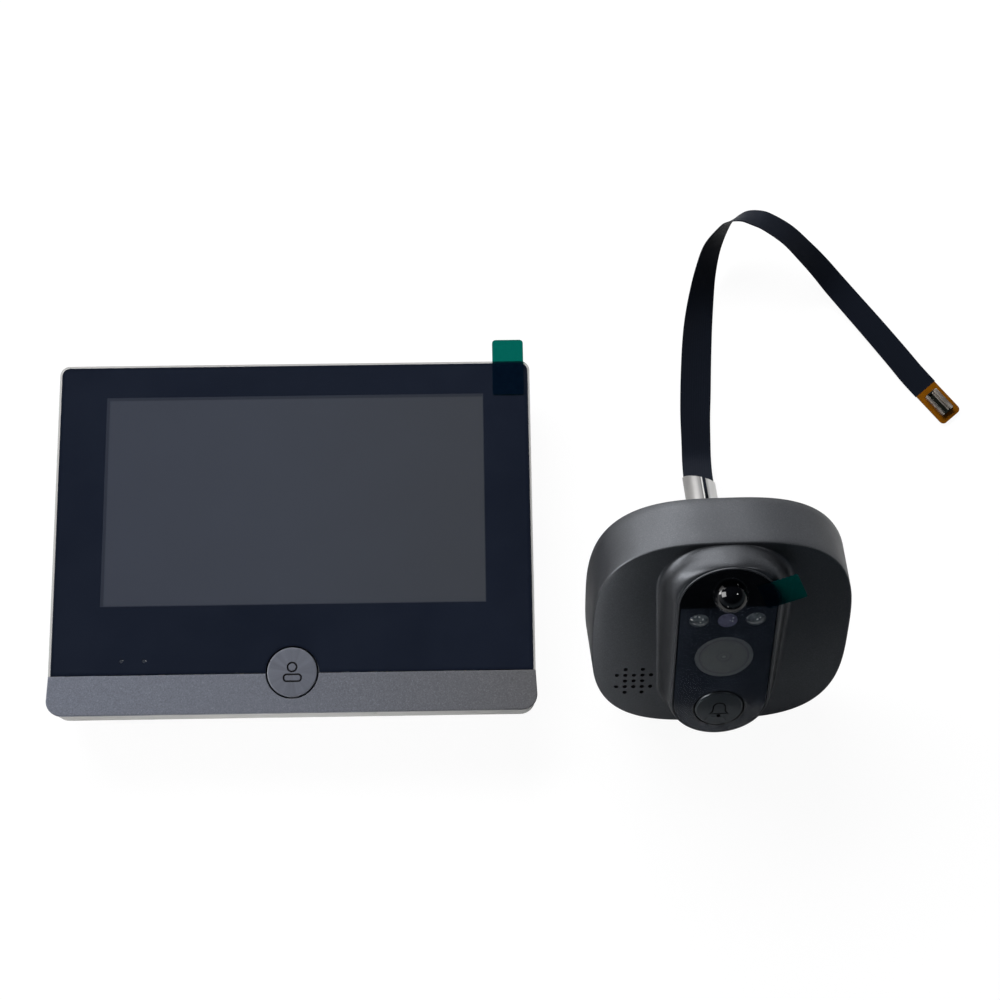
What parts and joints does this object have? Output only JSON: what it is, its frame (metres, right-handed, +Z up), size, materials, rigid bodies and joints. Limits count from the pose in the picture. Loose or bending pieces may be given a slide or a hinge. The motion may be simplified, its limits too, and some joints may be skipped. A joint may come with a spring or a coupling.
{
  "type": "peephole door camera",
  "caption": "Door viewer in two units: a flat indoor monitor with a push button, and an outdoor camera with doorbell button, slit tube and flat ribbon.",
  "frame": {"origin": "on the table, under the middle of the box round both units without the ribbon", "axes": "+X from the monitor to the outdoor unit, +Y from the monitor's chin to its top edge, +Z up from the table"},
  "size_m": [0.2336, 0.1386, 0.062],
  "materials": {
    "housing_paint": "satin metallic grey",
    "silver_frame": "satin silver",
    "chin_grey": "satin metallic grey",
    "cover_plastic": "fine matt",
    "black_glass": "polished, printed black",
    "black_gloss": "polished",
    "black_plastic": "fine matt",
    "white_plastic": "plain",
    "display": "switched off",
    "clear": "clear",
    "film": "clear film",
    "green_film": "translucent green film",
    "board": "solder mask",
    "steel": "plain",
    "screw": "blackened",
    "tube_steel": "plated",
    "aluminium": "plain",
    "connector": "plain",
    "rubber": "plain",
    "ribbon": "satin film",
    "amber": "amber film"
  },
  "bodies": {
    "monitor": {"monitor_rear_cover": "cover_plastic", "monitor_frame": "silver_frame", "monitor_glass": "black_glass", "monitor_chin": "chin_grey", "monitor_button_guide": "black_plastic", "monitor_button_switch": "steel", "monitor_display": "display", "monitor_backlight": "aluminium", "monitor_main_board": "board", "monitor_battery": "aluminium", "monitor_speaker": "black_plastic", "monitor_microphone": "steel", "monitor_status_leds": "white_plastic", "monitor_light_pipes": "clear", "monitor_charge_socket": "steel", "monitor_ribbon_socket": "connector", "monitor_rear_screws": "screw", "monitor_film": "film", "monitor_film_tab": "green_film"},
    "monitor_push_button": {"monitor_button": "chin_grey", "monitor_button_plunger": "white_plastic"},
    "camera_unit": {"camera_housing": "housing_paint", "camera_panel": "black_gloss", "camera_sensor_dome": "black_gloss", "camera_motion_sensor": "steel", "camera_ir_leds": "clear", "camera_light_sensor": "black_plastic", "camera_lens_window": "clear", "camera_lens_shroud": "black_plastic", "camera_lens_element": "clear", "camera_lens_barrel": "black_plastic", "camera_lens_holder": "black_plastic", "camera_image_board": "board", "camera_front_board": "board", "camera_main_board": "board", "camera_board_connector": "connector", "camera_bell_guide": "black_plastic", "camera_bell_switch": "steel", "camera_speaker": "black_plastic", "camera_rear_plate": "black_plastic", "camera_seal": "rubber", "camera_rear_screws": "screw", "camera_mount_pad": "rubber", "camera_tube": "tube_steel", "camera_film": "film", "camera_film_tab": "green_film", "camera_ribbon": "ribbon", "ribbon_end": "amber", "ribbon_plug": "connector"},
    "doorbell_button": {"camera_bell_button": "black_plastic", "camera_bell_plunger": "white_plastic"}
  },
  "joints": [
    {"name": "monitor_button_press", "type": "slide", "parent": "monitor", "child": "monitor_push_button", "axis": [0, 0, -1], "range_m": [0, 0.0005], "stiffness_N_per_m": 1200, "springref_m": -0.0004},
    {"name": "camera_unit_lift", "type": "slide", "parent": "monitor", "child": "camera_unit", "axis": [0, 0, 1], "range_m": [0, 0.1]},
    {"name": "doorbell_press", "type": "slide", "parent": "camera_unit", "child": "doorbell_button", "axis": [-0.0167, 0.8337, -0.5519], "range_m": [0, 0.0005], "stiffness_N_per_m": 1200, "springref_m": -0.0004}
  ]
}
